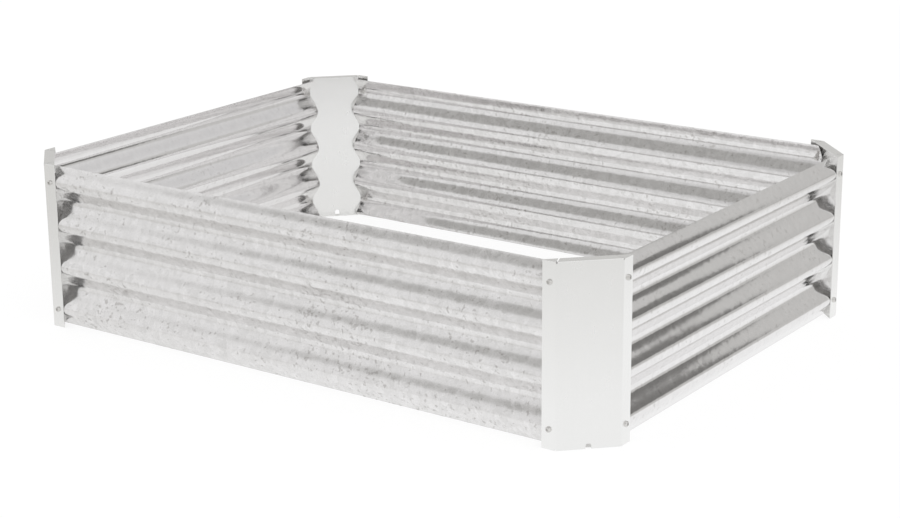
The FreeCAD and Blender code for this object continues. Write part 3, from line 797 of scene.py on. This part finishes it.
paper = bpy.data.materials.new("white_paper")
paper.use_nodes = True
tree = paper.node_tree
tree.nodes.remove(tree.nodes["Principled BSDF"])
where = add_node(tree, "ShaderNodeTexCoord").outputs["Object"]
far = between(tree, vector(tree, "DISTANCE", where, POOL_MIDDLE), POOL_INNER, POOL_OUTER)
lit = blend(tree, far, linear(PAPER_NEAR), linear(PAPER_FAR))
past_end = between(tree, vector(tree, "DOT_PRODUCT", where, PAPER_WAY),
                   PAPER_END - PAPER_END_SOFT, PAPER_END + PAPER_END_SOFT)
path = add_node(tree, "ShaderNodeLightPath")
mirrored = sum_up(tree, "MAXIMUM", path.outputs["Is Glossy Ray"],
                  path.outputs["Is Transmission Ray"])
shown = add_node(tree, "ShaderNodeEmission",
                 {"Color": blend(tree, past_end, lit, linear(PAPER_UNLIT)), "Strength": 1.0})
flat_white = add_node(tree, "ShaderNodeEmission", {"Strength": CAMERA_WHITE})
shaded = add_node(tree, "ShaderNodeBsdfDiffuse", {"Color": linear(PAPER_SHADED)})
share = add_node(tree, "ShaderNodeMixShader", {0: 1 - CAMERA_SHADED, 1: shaded.outputs[0]})
still = add_node(tree, "ShaderNodeAddShader", {0: share.outputs[0], 1: flat_white.outputs[0]})
for_camera = add_node(tree, "ShaderNodeMixShader",
                      {0: path.outputs["Is Camera Ray"], 1: shaded.outputs[0],
                       2: still.outputs[0]})
for_metal = add_node(tree, "ShaderNodeMixShader",
                     {0: mirrored, 1: for_camera.outputs[0], 2: shown.outputs[0]})
tree.links.new(for_metal.outputs[0], tree.nodes["Material Output"].inputs[0])
floor_mesh.materials.append(paper)

# %% [markdown]
# The right sheet's near end mirrors something dark and its far end doesn't, so the dark thing
# stood close: a board behind the bed on the right, out of the picture. The camera looks
# through it, so that it doesn't stand in the way of other views.

# %% The dark board
BOARD_CORNERS = ((2.12, 2.64, 0.5), (3.4, 1.4, 0.5), (3.4, 1.4, 1.38), (1.95, 2.49, 1.38))
BOARD_GREY = "#7a7977"

board_mesh = bpy.data.meshes.new("dark_board")
board_mesh.from_pydata(BOARD_CORNERS, [], [(0, 1, 2, 3)])
board = bpy.data.objects.new("dark_board", board_mesh)
scene.collection.objects.link(board)
felt = bpy.data.materials.new("dark_felt")
felt.use_nodes = True
tree = felt.node_tree
tree.nodes.remove(tree.nodes["Principled BSDF"])
dark = add_node(tree, "ShaderNodeEmission", {"Color": linear(BOARD_GREY), "Strength": 1.0})
clear = add_node(tree, "ShaderNodeBsdfTransparent")
path = add_node(tree, "ShaderNodeLightPath")
looked_through = add_node(tree, "ShaderNodeMixShader",
                          {0: path.outputs["Is Camera Ray"], 1: dark.outputs[0],
                           2: clear.outputs[0]})
tree.links.new(looked_through.outputs[0], tree.nodes["Material Output"].inputs[0])
board_mesh.materials.append(felt)

# %% [markdown]
# ## Camera
#
# The camera was found by matching the bed's corners, screws and wave ends in the photograph:
# it stands 3.7 m away, 35 degrees round to the right and 17 degrees up, with a long lens.

# %% The camera
AZIMUTH, ELEVATION, ROLL = (math.radians(angle) for angle in (35.2897, 16.9024, -0.4446))
CAMERA_PLACE = (2.08814, -2.92225, 1.19153)
SENSOR_WIDTH, FOCAL_LENGTH = 36, 82.73      # both in millimetres
back = Vector((math.sin(AZIMUTH) * math.cos(ELEVATION),
               -math.cos(AZIMUTH) * math.cos(ELEVATION), math.sin(ELEVATION)))
level_right = Vector((math.cos(AZIMUTH), math.sin(AZIMUTH), 0))
level_up = back.cross(level_right)
right = level_right * math.cos(ROLL) + level_up * math.sin(ROLL)
up = level_up * math.cos(ROLL) - level_right * math.sin(ROLL)
lens = bpy.data.cameras.new("photo_camera")
lens.sensor_width = SENSOR_WIDTH
lens.lens = FOCAL_LENGTH
camera = bpy.data.objects.new("photo_camera", lens)
scene.collection.objects.link(camera)
axes = Matrix((right, up, back)).transposed()
camera.matrix_world = Matrix.Translation(CAMERA_PLACE) @ axes.to_4x4()
scene.camera = camera
scene.view_settings.view_transform = "Standard"
